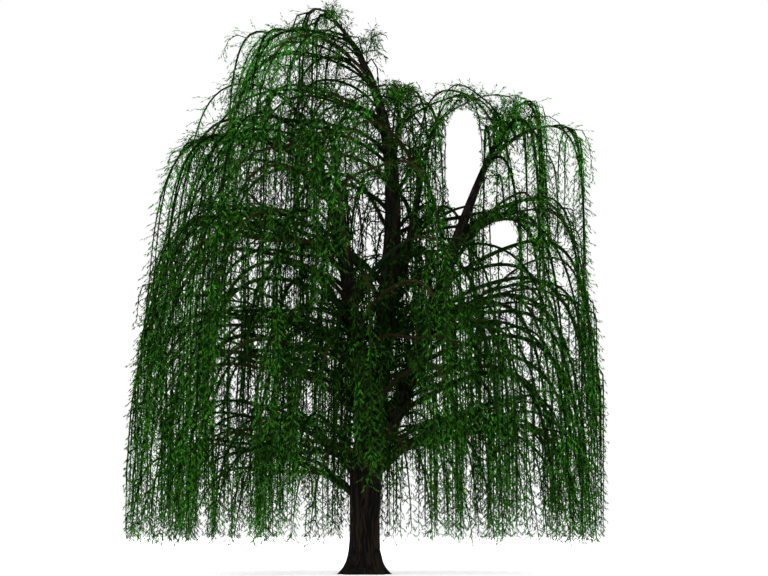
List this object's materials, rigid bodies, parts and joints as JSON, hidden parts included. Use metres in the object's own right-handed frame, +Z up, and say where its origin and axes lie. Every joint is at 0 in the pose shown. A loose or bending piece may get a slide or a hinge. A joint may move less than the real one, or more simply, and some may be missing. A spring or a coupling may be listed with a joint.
{
  "type": "weeping willow tree",
  "caption": "Mature weeping willow with a short flared trunk, upright leaders, arching boughs and hanging curtains of narrow leaves.",
  "frame": {"origin": "centre of the trunk's flat cut at ground level", "axes": "+Z up along the trunk, -Y the front of the tree as the picture shows it, +X to the right of who looks at that front"},
  "size_m": [10.2547, 9.5384, 11.9621],
  "materials": {
    "bark": "rough grey-brown bark with upright furrows",
    "bough_bark": "matt olive-brown bark of younger boughs",
    "foliage": "matt to satin green leaves on thin green-brown twigs"
  },
  "bodies": {
    "root": {"bough_high_back_left": "bough_bark", "bough_high_back_right": "bough_bark", "bough_high_front_left": "bough_bark", "bough_high_front_right": "bough_bark", "bough_high_left": "bough_bark", "bough_high_right": "bough_bark", "bough_low_back": "bough_bark", "bough_low_back_left": "bough_bark", "bough_low_back_right": "bough_bark", "bough_low_front": "bough_bark", "bough_low_front_left": "bough_bark", "bough_low_left": "bough_bark", "bough_low_right": "bough_bark", "bough_mid_back_left": "bough_bark", "bough_mid_back_right": "bough_bark", "bough_mid_front": "bough_bark", "bough_mid_front_left": "bough_bark", "bough_mid_front_right": "bough_bark", "bough_mid_left": "bough_bark", "bough_mid_right": "bough_bark", "bough_top_left": "bough_bark", "bough_upper_left": "bough_bark", "bough_upper_right": "bough_bark", "foliage_high_back_left": "foliage", "foliage_high_back_right": "foliage", "foliage_high_front_left": "foliage", "foliage_high_front_right": "foliage", "foliage_high_left": "foliage", "foliage_high_right": "foliage", "foliage_leader_back": "foliage", "foliage_leader_center": "foliage", "foliage_leader_front": "foliage", "foliage_leader_left": "foliage", "foliage_leader_mid_right": "foliage", "foliage_leader_right": "foliage", "foliage_low_back": "foliage", "foliage_low_back_left": "foliage", "foliage_low_back_right": "foliage", "foliage_low_front": "foliage", "foliage_low_front_left": "foliage", "foliage_low_left": "foliage", "foliage_low_right": "foliage", "foliage_mid_back_left": "foliage", "foliage_mid_back_right": "foliage", "foliage_mid_front": "foliage", "foliage_mid_front_left": "foliage", "foliage_mid_front_right": "foliage", "foliage_mid_left": "foliage", "foliage_mid_right": "foliage", "foliage_top_left": "foliage", "foliage_upper_left": "foliage", "foliage_upper_right": "foliage", "leader_back": "bark", "leader_center": "bark", "leader_front": "bark", "leader_left": "bark", "leader_mid_right": "bark", "leader_right": "bark", "trunk": "bark"}
  },
  "joints": []
}
